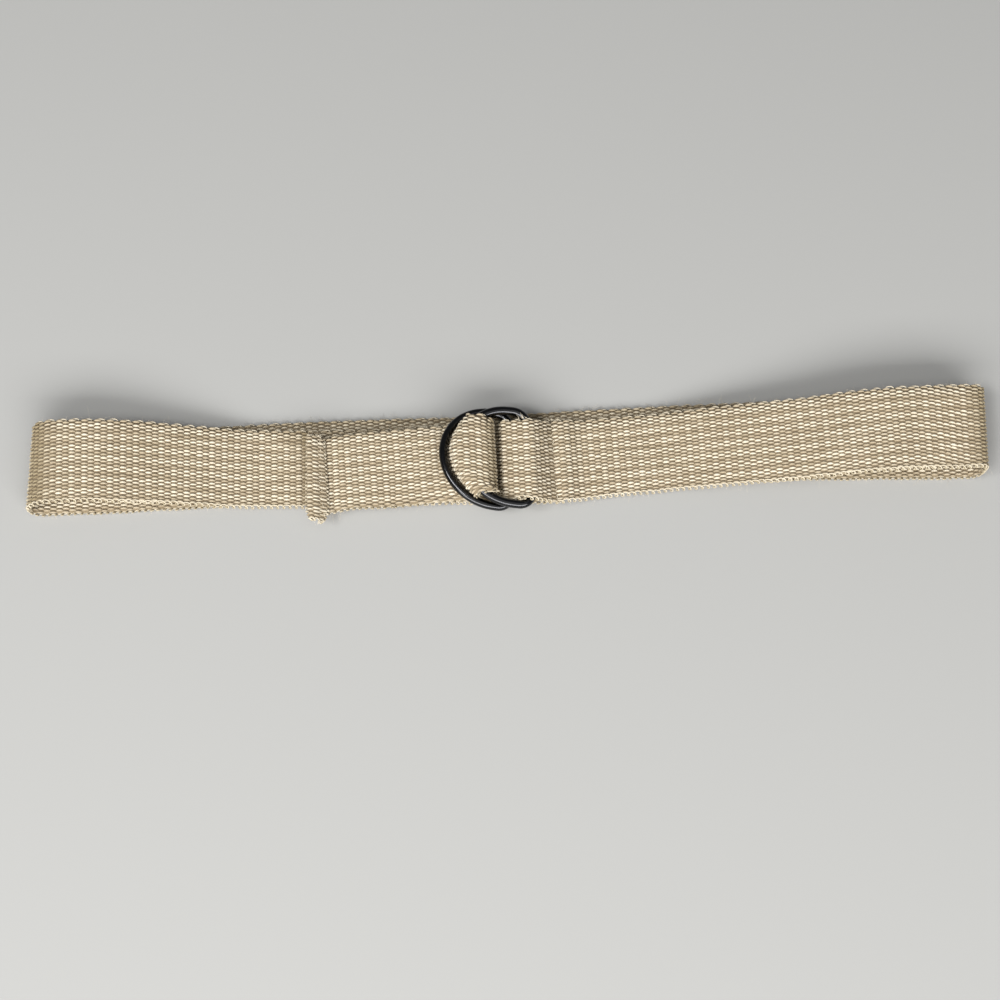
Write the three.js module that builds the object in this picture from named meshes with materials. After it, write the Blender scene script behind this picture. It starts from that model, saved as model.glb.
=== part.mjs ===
// A webbing belt fastened with two D rings, lying flat as a closed loop.
// Millimetres. X runs along the belt, Y away from the viewer and Z up.

import * as THREE from 'three';

// Driving dimensions of the webbing
const WEB_WIDTH = 38;
const WEB_THICK = 2.2;
const EDGE_ROUND = 0.7;
const LAYER_GAP = 0.3;
const WIRE_GAP = 0.6;

// Driving dimensions of a ring, measured on the centre line of its wire
const WIRE = 3.8;
const RING_HALF = 21.7;
const RING_DEPTH = 29.8;
const RING_CORNER = 6;
const RING_LEAN = 3.5;

// How each ring lies: the middle of its straight bar, its rise from the bar to the arc, and its turn
const UPPER_RING = { bar: [1.5, -7.5, 7.1], rise: 8, turn: -2 };
const LOWER_RING = { bar: [10, -7.9, 11.4], rise: 8, turn: 1 };

// Heights of the middle of the webbing where it lies in layers
const PITCH = WEB_THICK + LAYER_GAP;
const BACK = WEB_THICK / 2;
const FRONT = BACK + PITCH;
const TAIL = FRONT + PITCH;
const HEM_MIDDLE = TAIL + PITCH;
const HEM_TOP = HEM_MIDDLE + PITCH;
const SEAM_FLAP = FRONT + 0.8;
const SEAM_TOP = SEAM_FLAP + PITCH;

// The webbing's middle stays this far from the middle of a wire that it wraps
const WRAP = (WIRE + WEB_THICK) / 2 + WIRE_GAP;

// The two open ends of the loop: how far they reach, how high they stand, and the radii
// of their low and high bends
const LEFT_END = { x: -210, top: 16.6, low: 6, high: 10.5 };
const RIGHT_END = { x: 211.6, top: 17.2, low: 6.5, high: 5.5 };

// Where the strap turns back on itself through the rings
const FOLD_BACK = { x: -12.6, top: 17.8 };

// Fineness of the faceted surfaces
const STRAIGHT_STEP = 28;
const CURVED_STEP = 14;
const FINE_STEP = 2.5;
const WIDEST_ANGLE = THREE.MathUtils.degToRad(20);
const RING_STEPS = 60;
const WIRE_SIDES = 10;

const CLOCKWISE = -1;
const COUNTER = 1;

const webbingCotton = new THREE.MeshStandardMaterial({ color: 0xd9c9ae, roughness: 0.95, metalness: 0 });
const blackNickel = new THREE.MeshStandardMaterial({ color: 0x2a2b2e, roughness: 0.22, metalness: 1 });

// Outline of a ring's wire: a straight bar along Y, two round corners, and an arc on the low X side
function ringOutline() {
  const arcCentre = RING_HALF - RING_DEPTH;
  const cornerAt = RING_HALF - RING_CORNER;
  const outline = new THREE.Path();
  outline.moveTo(0, -cornerAt);
  outline.lineTo(0, cornerAt);
  outline.absarc(-RING_CORNER, cornerAt, RING_CORNER, 0, Math.PI / 2, false);
  outline.lineTo(arcCentre, RING_HALF);
  outline.absarc(arcCentre, 0, RING_HALF, Math.PI / 2, (3 * Math.PI) / 2, false);
  outline.lineTo(-RING_CORNER, -RING_HALF);
  outline.absarc(-RING_CORNER, -cornerAt, RING_CORNER, -Math.PI / 2, 0, false);
  outline.closePath();
  return outline;
}

// Middle line of a ring's wire where the ring lies. Its arc leans a little to one side.
function wireLine({ bar, rise, turn }) {
  const points = ringOutline().getSpacedPoints(RING_STEPS).slice(0, -1);
  const { degToRad } = THREE.MathUtils;
  const angles = new THREE.Euler(0, degToRad(rise), degToRad(turn), 'ZYX');
  const pose = new THREE.Matrix4().makeRotationFromEuler(angles).setPosition(...bar);
  const leaning = points.map(({ x, y }) => new THREE.Vector3(x, y - (RING_LEAN * x) / RING_DEPTH, 0));
  return leaning.map((point) => point.applyMatrix4(pose));
}

const upperLine = wireLine(UPPER_RING);
const lowerLine = wireLine(LOWER_RING);

// The stretches between a line's neighbouring points
function stretches(line) {
  return line.map((point, index) => new THREE.Line3(point, line[(index + 1) % line.length]));
}

// The point of a wire's line that is nearest to another point
function nearestOn(line, point) {
  const { Vector3 } = THREE;
  const nearest = stretches(line).map((stretch) => stretch.closestPointToPoint(point, true, new Vector3()));
  return nearest.reduce((best, each) => (each.distanceTo(point) < best.distanceTo(point) ? each : best));
}

// Where a ring's arc passes a sideways place
function arcAt(line, y) {
  const crossing = stretches(line).filter(({ start, end }) => (start.y - y) * (end.y - y) <= 0);
  const found = crossing.reduce((best, each) => (each.start.x < best.start.x ? each : best));
  return found.at((y - found.start.y) / (found.end.y - found.start.y), new THREE.Vector3());
}

const foldRadius = (FOLD_BACK.top - FRONT) / 2;
const hemRadius = (HEM_TOP - TAIL) / 2;
const rollRadius = (HEM_TOP - HEM_MIDDLE) / 2;

// The route of the webbing seen from the side, as a band over rollers: it runs straight from one
// bend to the next, and each bend is an arc about a centre. A radius of 0 is a plain point.
// A bend about a ring takes its centre from the ring's wire.
// Columns: name, centre x, centre z, radius, direction of turn, ring.
const BENDS = [
  ['flap_end', 23.5, SEAM_FLAP, 0, COUNTER],
  ['upper_bar', UPPER_RING.bar[0], UPPER_RING.bar[2], WRAP, CLOCKWISE],
  ['lower_bar', LOWER_RING.bar[0], LOWER_RING.bar[2], WRAP, CLOCKWISE],
  ['seam', 21, SEAM_TOP + 3, 3, COUNTER],
  ['seam_edge', 25.5, SEAM_TOP - 4, 4, CLOCKWISE],
  ['loop_landing', 35, FRONT + 8, 8, COUNTER],
  ['right_rise', 60, FRONT + 100, 100, COUNTER],
  ['right_shoulder', 178, RIGHT_END.top - 200, 200, CLOCKWISE],
  ['right_top', RIGHT_END.x - RIGHT_END.high, RIGHT_END.top - RIGHT_END.high, RIGHT_END.high, CLOCKWISE],
  ['right_bottom', RIGHT_END.x - RIGHT_END.low, BACK + RIGHT_END.low, RIGHT_END.low, CLOCKWISE],
  ['left_bottom', LEFT_END.x + LEFT_END.low, BACK + LEFT_END.low, LEFT_END.low, CLOCKWISE],
  ['left_top', LEFT_END.x + LEFT_END.high, LEFT_END.top - LEFT_END.high, LEFT_END.high, CLOCKWISE],
  ['left_shoulder', -192, LEFT_END.top - 120, 120, CLOCKWISE],
  ['left_landing', -104, FRONT + 100, 100, COUNTER],
  ['fold_back', FOLD_BACK.x, FRONT + foldRadius, foldRadius, COUNTER],
  ['over_lower_ring', 0, 0, WRAP, COUNTER, lowerLine],
  ['under_upper_ring', 0, 0, WRAP, CLOCKWISE, upperLine],
  ['tail_landing', -52, TAIL + 30, 30, CLOCKWISE],
  ['hem_outer', -85.5, HEM_MIDDLE, hemRadius, CLOCKWISE],
  ['hem_inner', -81.2, HEM_MIDDLE + rollRadius, rollRadius, CLOCKWISE],
  ['hem_end', -85.4, HEM_MIDDLE, 0, COUNTER],
].map(([name, x, z, radius, turn, ring]) => ({ name, x, z, radius, turn, ring }));

// How the webbing lies sideways along that route.
// Columns: bend, distance past its middle, sideways place, width, turn of its line in degrees.
const LAY = [
  ['flap_end', 0, -7.4, 37.4, 0],
  ['upper_bar', 0, -7, 37.6, 0],
  ['lower_bar', 0, -8.8, 37.2, 0],
  ['seam', 0, -7.9, 38.4, 1],
  ['loop_landing', 0, -6.3, 37.4, 1],
  ['right_rise', 0, -4.3, 36.4, 0.4],
  ['right_rise', 25, -3.6, 37.2, -0.5],
  ['right_rise', 65, -2.9, 37.5, -0.4],
  ['right_shoulder', 0, -1.6, 38.2, -1.1],
  ['right_top', 0, -1.7, 38.6, -4.5],
  ['right_bottom', 0, -1.8, 38.4, -4.5],
  ['right_bottom', 45, -0.8, 38.0, -1.8],
  ['right_bottom', 78, 0.2, 38.0, -0.5],
  ['right_bottom', 120, 0.1, 38.0, 0.6],
  ['right_bottom', 170, -0.7, 38.0, 1],
  ['right_bottom', 230, -1.8, 38.0, 0.5],
  ['right_bottom', 270, -1.5, 38.0, 0],
  ['right_bottom', 350, -2.5, 38.0, 1.2],
  ['right_bottom', 385, -3.4, 38.0, 0],
  ['left_bottom', 0, -2.9, 38.0, -1],
  ['left_top', 0, -2.3, 37.9, -0.8],
  ['left_top', 40, -2.5, 37.8, 1.8],
  ['left_landing', -20, -4.0, 36.6, 0.9],
  ['left_landing', 20, -5.6, 36.0, 0.5],
  ['left_landing', 60, -6.4, 36.2, 0.5],
  ['fold_back', -30, -5.9, 36.6, 1],
  ['fold_back', 0, -5.9, 34.6, 1],
  ['over_lower_ring', 0, -5.8, 35.6, 1.5],
  ['under_upper_ring', 0, -6.4, 35.8, 3],
  ['tail_landing', 0, -8.1, 36.2, 2.5],
  ['tail_landing', 20, -8.8, 35.3, 2.6],
  ['hem_outer', 0, -10, 35.4, 2],
  ['hem_inner', 0, -12.4, 35.4, 2],
  ['hem_end', 0, -14.4, 35.4, 2],
].map(([bend, past, aside, width, turn]) => ({ bend, past, aside, width, turn }));

// The bends of one line of the webbing, from -1 at its near edge to 1 at its far edge
function bendsBeside(across) {
  const { aside, width } = LAY.find((row) => row.bend === 'over_lower_ring');
  const y = aside + (across * width) / 2;
  return BENDS.map((bend) => {
    if (!bend.ring) {
      return bend;
    }
    const { x, z } = arcAt(bend.ring, y);
    return { ...bend, x, z };
  });
}

// Directions of the straight runs. Each touches the bends before and after it on the proper side.
function straightRuns(bends) {
  return bends.slice(1).map((next, index) => {
    const bend = bends[index];
    const across = next.x - bend.x;
    const up = next.z - bend.z;
    const offset = next.turn * next.radius - bend.turn * bend.radius;
    const apart = Math.hypot(across, up);
    const heading = Math.atan2(up, across) - Math.asin(offset / apart);
    return { heading, length: Math.sqrt(apart * apart - offset * offset) };
  });
}

// The angle that a bend turns the webbing through, with the sign of its turn
function turnOf(bend, headingIn, headingOut) {
  const full = 2 * Math.PI;
  const left = THREE.MathUtils.euclideanModulo(headingOut - headingIn, full);
  return bend.turn === COUNTER ? left : left - full;
}

// The route as a list of pieces, each an arc or a straight run, with the length where it starts
function layRoute(bends) {
  const runs = straightRuns(bends);
  const pieces = [];
  let reached = 0;
  bends.forEach((bend, index) => {
    const headingIn = index > 0 ? runs[index - 1].heading : runs[0].heading;
    const headingOut = index < runs.length ? runs[index].heading : headingIn;
    const turn = bend.radius > 0 ? turnOf(bend, headingIn, headingOut) : 0;
    const arcLength = Math.abs(turn) * bend.radius;
    const runLength = index < runs.length ? runs[index].length : 0;
    pieces.push({ bend, start: reached, length: arcLength, heading: headingIn, turn });
    pieces.push({ bend, start: reached + arcLength, length: runLength, heading: headingOut, turn: 0 });
    reached += arcLength + runLength;
  });
  return pieces;
}

// Place of the webbing's line when a share of a piece of its route is behind it
function placeOn(piece, share) {
  const { bend } = piece;
  const heading = piece.heading + piece.turn * share;
  const side = bend.turn * bend.radius;
  const onward = piece.turn === 0 ? piece.length * share : 0;
  return {
    x: bend.x + side * Math.sin(heading) + onward * Math.cos(heading),
    z: bend.z - side * Math.cos(heading) + onward * Math.sin(heading),
  };
}

const middleRoute = layRoute(bendsBeside(0));

// Smooth curve through the rows of the lay table
const layCurve = new THREE.CubicInterpolant(
  LAY.map(({ bend, past }) => {
    const arc = middleRoute.find((piece) => piece.bend.name === bend);
    return arc.start + arc.length / 2 + past;
  }),
  LAY.flatMap(({ aside, width, turn }) => [aside, width, turn]),
  3,
);

// The routes of the webbing's other lines differ only where they meet the rings
const knownRoutes = new Map();
function routeBeside(across) {
  const key = across.toFixed(4);
  if (!knownRoutes.has(key)) {
    knownRoutes.set(key, layRoute(bendsBeside(across)));
  }
  return knownRoutes.get(key);
}

// Moves a point of the webbing's middle out of the space that a ring's wire needs
function clearOfWire(point, line) {
  const nearest = nearestOn(line, point);
  const offset = point.clone().sub(nearest);
  if (offset.length() < WRAP) {
    point.copy(nearest).add(offset.setLength(WRAP));
  }
  return point;
}

// A point of the webbing's middle surface: a share of a piece along, and across it from -1 to 1
function middleSurface(index, share, across) {
  const middle = middleRoute[index];
  const [aside, width, turn] = layCurve.evaluate(middle.start + middle.length * share);
  const { x, z } = placeOn(routeBeside(across)[index], share);
  const angle = THREE.MathUtils.degToRad(turn);
  const out = (across * width) / 2;
  const point = new THREE.Vector3(x - Math.sin(angle) * out, aside + Math.cos(angle) * out, z);
  return clearOfWire(clearOfWire(point, lowerLine), upperLine);
}

// The same with a height above the middle surface, square to it
function onWebbing(index, share, across, height) {
  const step = 0.02;
  const centre = middleSurface(index, share, across);
  const along = middleSurface(index, share + step, across).sub(middleSurface(index, share - step, across));
  const sideways = middleSurface(index, share, across + step).sub(middleSurface(index, share, across - step));
  return centre.addScaledVector(along.cross(sideways).normalize(), height);
}

// Where the webbing gets a cross section: close together in the bends, wide apart between them
function sectionStops() {
  const stops = middleRoute.flatMap(({ length, turn, bend }, index) => {
    const plain = turn === 0 ? STRAIGHT_STEP : CURVED_STEP;
    const longest = bend.ring ? FINE_STEP : plain;
    const steps = Math.ceil(Math.max(length / longest, Math.abs(turn) / WIDEST_ANGLE));
    return Array.from({ length: steps }, (_, step) => ({ index, share: step / steps }));
  });
  return [...stops, { index: middleRoute.length - 2, share: 1 }];
}

// Cross section of the webbing: a flat band whose two selvedges are rounded off
function webbingSection() {
  const half = WEB_WIDTH / 2;
  const top = WEB_THICK / 2;
  const inner = half - EDGE_ROUND;
  const spans = [-1, -0.9, -0.78, -0.6, -0.3, 0, 0.3, 0.6, 0.78, 0.9, 1];
  const under = spans.map((span) => new THREE.Vector2(span * inner, -top));
  const over = spans.toReversed().map((span) => new THREE.Vector2(span * inner, top));
  const edge = top - EDGE_ROUND;
  const right = [new THREE.Vector2(half, -edge), new THREE.Vector2(half, edge)];
  const left = [new THREE.Vector2(-half, edge), new THREE.Vector2(-half, -edge)];
  return new THREE.Shape([...under, ...right, ...over, ...left]);
}

// The whole webbing: a straight band with one layer for each cross section, bent onto its route
function makeWebbing() {
  const stops = sectionStops();
  const layers = stops.length - 1;
  const options = { depth: layers, steps: layers, bevelEnabled: false };
  const geometry = new THREE.ExtrudeGeometry(webbingSection(), options);
  const position = geometry.attributes.position;
  for (let vertex = 0; vertex < position.count; vertex += 1) {
    const { index, share } = stops[Math.round(position.getZ(vertex))];
    const across = position.getX(vertex) / (WEB_WIDTH / 2);
    const { x, y, z } = onWebbing(index, share, across, position.getY(vertex));
    position.setXYZ(vertex, x, y, z);
  }
  const mesh = new THREE.Mesh(geometry, webbingCotton);
  mesh.name = 'webbing_strap';
  return mesh;
}

// One ring: round wire along its line
function makeRing(name, points) {
  const line = new THREE.CatmullRomCurve3(points, true);
  const wire = new THREE.TubeGeometry(line, RING_STEPS, WIRE / 2, WIRE_SIDES, true);
  const mesh = new THREE.Mesh(wire, blackNickel);
  mesh.name = name;
  return mesh;
}

// Puts the middle of the box's underside at the origin
function centreOnFloor(group) {
  const box = new THREE.Box3().setFromObject(group, true);
  const centre = box.getCenter(new THREE.Vector3());
  group.position.set(-centre.x, -centre.y, -box.min.z);
  return group;
}

const belt = new THREE.Group();
belt.add(makeWebbing());
belt.add(makeRing('d_ring_upper', upperLine));
belt.add(makeRing('d_ring_lower', lowerLine));

export default centreOnFloor(belt);
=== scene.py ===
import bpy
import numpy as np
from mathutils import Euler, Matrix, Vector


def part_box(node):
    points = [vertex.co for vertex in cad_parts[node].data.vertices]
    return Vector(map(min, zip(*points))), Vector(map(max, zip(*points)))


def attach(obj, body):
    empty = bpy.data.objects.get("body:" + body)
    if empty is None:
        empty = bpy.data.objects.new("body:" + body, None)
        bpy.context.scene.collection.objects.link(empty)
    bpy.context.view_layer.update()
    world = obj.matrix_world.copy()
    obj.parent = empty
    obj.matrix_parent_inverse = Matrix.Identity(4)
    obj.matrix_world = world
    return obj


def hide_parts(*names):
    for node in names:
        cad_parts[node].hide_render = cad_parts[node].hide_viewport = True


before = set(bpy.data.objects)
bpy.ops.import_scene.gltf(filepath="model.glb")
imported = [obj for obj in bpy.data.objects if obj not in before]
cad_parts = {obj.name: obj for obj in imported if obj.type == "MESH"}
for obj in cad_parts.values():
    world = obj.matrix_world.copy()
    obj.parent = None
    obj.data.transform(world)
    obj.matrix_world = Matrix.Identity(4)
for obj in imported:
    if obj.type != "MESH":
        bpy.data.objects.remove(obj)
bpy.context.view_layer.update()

# %% [markdown]
# # A webbing belt with a double D-ring buckle
#
# The belt is one metre of heavy cotton webbing. It is threaded through two black D rings and lies
# flattened on a table. Almost everything that the eye sees is weave: thick warp yarns that run along
# the belt and dive under every second weft. A bump map can't show that from the side, so the yarns
# are made as real tubes. They all follow one surface, which is worked out first.

MM = 0.001
rng = np.random.default_rng(11)

# %% [markdown]
# ## The measures of the belt
#
# These are the driving dimensions of the solid part, in millimetres. The solids are the frame that
# the looks are built on, so the same few numbers are stated again here.

# %% Driving dimensions
WEB_WIDTH = 38
WEB_THICK = 2.2
LAYER_GAP = 0.3
WIRE_GAP = 0.6
WIRE = 3.8
RING_HALF = 21.7
RING_DEPTH = 29.8
RING_CORNER = 6
RING_LEAN = 3.5
UPPER_RING = {"bar": (1.5, -7.5, 7.1), "rise": 8, "turn": -2}
LOWER_RING = {"bar": (10, -7.9, 11.4), "rise": 8, "turn": 1}
PITCH = WEB_THICK + LAYER_GAP
BACK = WEB_THICK / 2
FRONT = BACK + PITCH
TAIL = FRONT + PITCH
HEM_MIDDLE = TAIL + PITCH
HEM_TOP = HEM_MIDDLE + PITCH
SEAM_FLAP = FRONT + 0.8
SEAM_TOP = SEAM_FLAP + PITCH
WRAP = (WIRE + WEB_THICK) / 2 + WIRE_GAP
LEFT_X, LEFT_TOP, LEFT_LOW_RADIUS, LEFT_HIGH_RADIUS = -210, 16.6, 6, 10.5
RIGHT_X, RIGHT_TOP, RIGHT_LOW_RADIUS, RIGHT_HIGH_RADIUS = 211.6, 17.2, 6.5, 5.5
FOLD_X, FOLD_TOP = -12.6, 17.8
print("layers of webbing that are sewn together lie", PITCH, "mm apart, middle to middle")

# %% [markdown]
# ## The line of a ring's wire
#
# A D ring is a bent wire: a straight bar, two tight corners and a half circle. The outline is walked
# in a plane, points are set along it at equal distances, and the plane is then tilted and turned to
# where the ring lies.

# %% Ring lines
RING_POINTS = 240


def arc(x, y, radius, start, end, count=40):
    """Points on a circle about (x, y), from one angle to another in quarter turns."""
    angle = np.linspace(start, end, count) * np.pi / 2
    return np.stack([x + radius * np.cos(angle), y + radius * np.sin(angle)], axis=1)


def evenly(points, count):
    """Points at equal distances along a closed outline."""
    closed = np.vstack([points, points[:1]])
    reached = np.concatenate([[0], np.cumsum(np.linalg.norm(np.diff(closed, axis=0), axis=1))])
    wanted = np.linspace(0, reached[-1], count, endpoint=False)
    return np.stack([np.interp(wanted, reached, values) for values in closed.T], axis=1)


def wire_line(ring):
    """The D outline, sheared by the lean, tilted by the rise, turned by the turn and moved to its bar."""
    corner_at = RING_HALF - RING_CORNER
    outline = np.vstack([
        arc(-RING_CORNER, corner_at, RING_CORNER, 0, 1),
        arc(RING_HALF - RING_DEPTH, 0, RING_HALF, 1, 3),
        arc(-RING_CORNER, -corner_at, RING_CORNER, 3, 4),
    ])
    x, y = evenly(outline, RING_POINTS).T
    y = y - RING_LEAN * x / RING_DEPTH
    rise, turn = np.radians(ring["rise"]), np.radians(ring["turn"])
    flat_x, z = x * np.cos(rise), -x * np.sin(rise)
    turned = [flat_x * np.cos(turn) - y * np.sin(turn), flat_x * np.sin(turn) + y * np.cos(turn), z]
    return np.stack(turned, axis=1) + np.array(ring["bar"])


upper_line = wire_line(UPPER_RING)
lower_line = wire_line(LOWER_RING)
solid_low, solid_high = (np.array(corner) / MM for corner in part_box("d_ring_upper"))
SHIFT = (solid_low + solid_high) / 2 - (upper_line.min(0) + upper_line.max(0)) / 2
SHIFT[2] = 0
print("the rings stand", np.round(upper_line.max(0)[2] + WIRE / 2, 1), "mm and",
      np.round(lower_line.max(0)[2] + WIRE / 2, 1), "mm high; the frame's shift is", np.round(SHIFT, 2))

# %% [markdown]
# ## The route of the webbing
#
# Seen from the side, webbing under light tension runs like a band over rollers: straight from one
# bend to the next. So the route is a short table of circles, and the straight runs are the lines that
# touch two neighbours. Where the webbing crosses the arcs of the rings, every line along it meets the
# wire at its own place, so those two circles are found afresh for each line.

# %% Table of bends
CLOCKWISE, COUNTER = -1, 1
BENDS = [
    # name, centre x, centre z, radius, direction of turn
    ("flap_end", 23.5, SEAM_FLAP, 0, COUNTER),
    ("upper_bar", UPPER_RING["bar"][0], UPPER_RING["bar"][2], WRAP, CLOCKWISE),
    ("lower_bar", LOWER_RING["bar"][0], LOWER_RING["bar"][2], WRAP, CLOCKWISE),
    ("seam", 21, SEAM_TOP + 3, 3, COUNTER),
    ("seam_edge", 25.5, SEAM_TOP - 4, 4, CLOCKWISE),
    ("loop_landing", 35, FRONT + 8, 8, COUNTER),
    ("right_rise", 60, FRONT + 100, 100, COUNTER),
    ("right_shoulder", 178, RIGHT_TOP - 200, 200, CLOCKWISE),
    ("right_top", RIGHT_X - RIGHT_HIGH_RADIUS, RIGHT_TOP - RIGHT_HIGH_RADIUS, RIGHT_HIGH_RADIUS, CLOCKWISE),
    ("right_bottom", RIGHT_X - RIGHT_LOW_RADIUS, BACK + RIGHT_LOW_RADIUS, RIGHT_LOW_RADIUS, CLOCKWISE),
    ("left_bottom", LEFT_X + LEFT_LOW_RADIUS, BACK + LEFT_LOW_RADIUS, LEFT_LOW_RADIUS, CLOCKWISE),
    ("left_top", LEFT_X + LEFT_HIGH_RADIUS, LEFT_TOP - LEFT_HIGH_RADIUS, LEFT_HIGH_RADIUS, CLOCKWISE),
    ("left_shoulder", -192, LEFT_TOP - 120, 120, CLOCKWISE),
    ("left_landing", -104, FRONT + 100, 100, COUNTER),
    ("fold_back", FOLD_X, (FRONT + FOLD_TOP) / 2, (FOLD_TOP - FRONT) / 2, COUNTER),
    ("over_lower_ring", 0, 0, WRAP, COUNTER),
    ("under_upper_ring", 0, 0, WRAP, CLOCKWISE),
    ("tail_landing", -52, TAIL + 30, 30, CLOCKWISE),
    ("hem_outer", -85.5, HEM_MIDDLE, (HEM_TOP - TAIL) / 2, CLOCKWISE),
    ("hem_inner", -81.2, (HEM_MIDDLE + HEM_TOP) / 2, (HEM_TOP - HEM_MIDDLE) / 2, CLOCKWISE),
    ("hem_end", -85.4, HEM_MIDDLE, 0, COUNTER),
]
BEND_NAMES = [bend[0] for bend in BENDS]
print("the route has", len(BENDS), "bends and ends")

# %% [markdown]
# ## How the webbing lies
#
# A real belt never lies quite straight: its line drifts to the side and turns a little, and it grows
# narrower where it is pulled. A cloth simulation could find such a lay, but not the one in the
# photograph. So a second table states it at a few places, and a smooth curve joins them.

# %% Table of the lay
LAY = [
    # bend, distance past its middle, sideways place, width, turn of its line in degrees
    ("flap_end", 0, -7.4, 37.4, 0),
    ("upper_bar", 0, -7, 37.6, 0),
    ("lower_bar", 0, -8.8, 37.2, 0),
    ("seam", 0, -7.9, 38.4, 1),
    ("loop_landing", 0, -6.3, 37.4, 1),
    ("right_rise", 0, -4.3, 36.4, 0.4),
    ("right_rise", 25, -3.6, 37.2, -0.5),
    ("right_rise", 65, -2.9, 37.5, -0.4),
    ("right_shoulder", 0, -1.6, 38.2, -1.1),
    ("right_top", 0, -1.7, 38.6, -4.5),
    ("right_bottom", 0, -1.8, 38.4, -4.5),
    ("right_bottom", 45, -0.8, 38, -1.8),
    ("right_bottom", 78, 0.2, 38, -0.5),
    ("right_bottom", 120, 0.1, 38, 0.6),
    ("right_bottom", 170, -0.7, 38, 1),
    ("right_bottom", 230, -1.8, 38, 0.5),
    ("right_bottom", 270, -1.5, 38, 0),
    ("right_bottom", 350, -2.5, 38, 1.2),
    ("right_bottom", 385, -3.4, 38, 0),
    ("left_bottom", 0, -2.9, 38, -2.6),
    ("left_top", 0, -2.3, 37.9, 1.2),
    ("left_top", 40, -2.5, 37.8, 1.8),
    ("left_landing", -20, -4, 36.6, 0.9),
    ("left_landing", 20, -5.6, 36, 0.5),
    ("left_landing", 60, -6.4, 36.2, 0.5),
    ("fold_back", -30, -5.9, 36.6, 1),
    ("fold_back", 0, -6.9, 36.6, 1),
    ("over_lower_ring", 0, -6.2, 36.4, 1.5),
    ("under_upper_ring", 0, -6.4, 35.8, 3),
    ("tail_landing", 0, -8.1, 36.2, 2.5),
    ("tail_landing", 20, -8.8, 35.3, 2.6),
    ("hem_outer", -9, -10.3, 36, 1.2),
    ("hem_outer", 0, -11.6, 39, -0.5),
    ("hem_inner", 0, -12.7, 39.4, 3.6),
    ("hem_end", 0, -13.9, 39, 3.6),
]
print("as it lies, the webbing is", min(row[3] for row in LAY), "to", max(row[3] for row in LAY), "mm wide")

# %% Route of one line or many
X, Z, RADIUS, TURN = (np.array([bend[column] for bend in BENDS], float) for column in (1, 2, 3, 4))
OVER, UNDER = BEND_NAMES.index("over_lower_ring"), BEND_NAMES.index("under_upper_ring")
LAY_ASIDE, LAY_WIDTH, LAY_TURN = (np.array([row[column] for row in LAY], float) for column in (2, 3, 4))
RING_ROW = [row[0] for row in LAY].index("over_lower_ring")


def arc_at(line, y):
    """Where a ring's arc, the half of its wire away from the bar, passes sideways places y."""
    half = line[line[:, 0] < line[:, 0].max() - RING_CORNER - 1]
    half = half[np.argsort(half[:, 1])]
    return np.interp(y, half[:, 1], half[:, 0]), np.interp(y, half[:, 1], half[:, 2])


def lay_routes(across):
    """Arcs and straight runs of the lines at places -1 to 1 across the webbing.

    A run between two circles leaves their line of centres by the arcsine of the difference of the
    signed radii over the distance, which is what makes it touch both."""
    centre_x, centre_z = np.repeat(X[:, None], len(across), 1), np.repeat(Z[:, None], len(across), 1)
    y = LAY_ASIDE[RING_ROW] + across * LAY_WIDTH[RING_ROW] / 2
    centre_x[OVER], centre_z[OVER] = arc_at(lower_line, y)
    centre_x[UNDER], centre_z[UNDER] = arc_at(upper_line, y)
    over_x, over_z = np.diff(centre_x, axis=0), np.diff(centre_z, axis=0)
    offset = np.diff(TURN * RADIUS)[:, None]
    apart = np.hypot(over_x, over_z)
    heading = np.arctan2(over_z, over_x) - np.arcsin(offset / apart)
    heading_in, heading_out = np.vstack([heading[:1], heading]), np.vstack([heading, heading[-1:]])
    left = np.mod(heading_out - heading_in, 2 * np.pi)
    turned = np.where(TURN[:, None] > 0, left, left - 2 * np.pi) * (RADIUS[:, None] > 0)
    run = np.vstack([np.sqrt(apart**2 - offset**2), np.zeros((1, len(across)))])
    return {"x": centre_x, "z": centre_z, "in": heading_in, "out": heading_out,
            "turned": turned, "run": run}


middle = lay_routes(np.zeros(1))
arc_length = np.abs(middle["turned"][:, 0]) * RADIUS
piece_length = np.stack([arc_length, middle["run"][:, 0]], axis=1).ravel()
piece_start = np.concatenate([[0], np.cumsum(piece_length)[:-1]])
TOTAL = piece_length.sum()
arc_start = {name: piece_start[2 * index] for index, name in enumerate(BEND_NAMES)}
mid_bend = {name: arc_start[name] + arc_length[index] / 2 for index, name in enumerate(BEND_NAMES)}
LAY_AT = np.array([mid_bend[row[0]] + row[1] for row in LAY])
print("the webbing is", round(TOTAL), "mm long and turns through",
      round(np.degrees(np.abs(middle["turned"]).sum())), "degrees")

# %% [markdown]
# ## The surface of the webbing
#
# A point of the webbing is found from three numbers: how far along, how far across from -1 to 1, and
# how far above its middle. The lay table gives the sideways place and the width, through a smooth
# curve whose slope at each row is the mean of the slopes beside it. A last step keeps the webbing off
# the wires: a point that is too near a wire is moved straight away from it, as the real cloth is.

# %% The surface as a function
SMALL = 0.05
CHUNK = 4000


def smooth(rows, at):
    """Hermite curve through the rows of the lay table, evaluated at lengths."""
    slope = np.diff(rows) / np.diff(LAY_AT)
    tangent = np.concatenate([slope[:1], (slope[1:] + slope[:-1]) / 2, slope[-1:]])
    index = np.clip(np.searchsorted(LAY_AT, at, side="right") - 1, 0, len(LAY_AT) - 2)
    span = LAY_AT[index + 1] - LAY_AT[index]
    part = (at - LAY_AT[index]) / span
    start = (1 + 2 * part) * (1 - part) ** 2 * rows[index] + part * (1 - part) ** 2 * span * tangent[index]
    end = part**2 * (3 - 2 * part) * rows[index + 1] + part**2 * (part - 1) * span * tangent[index + 1]
    return start + end


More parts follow.
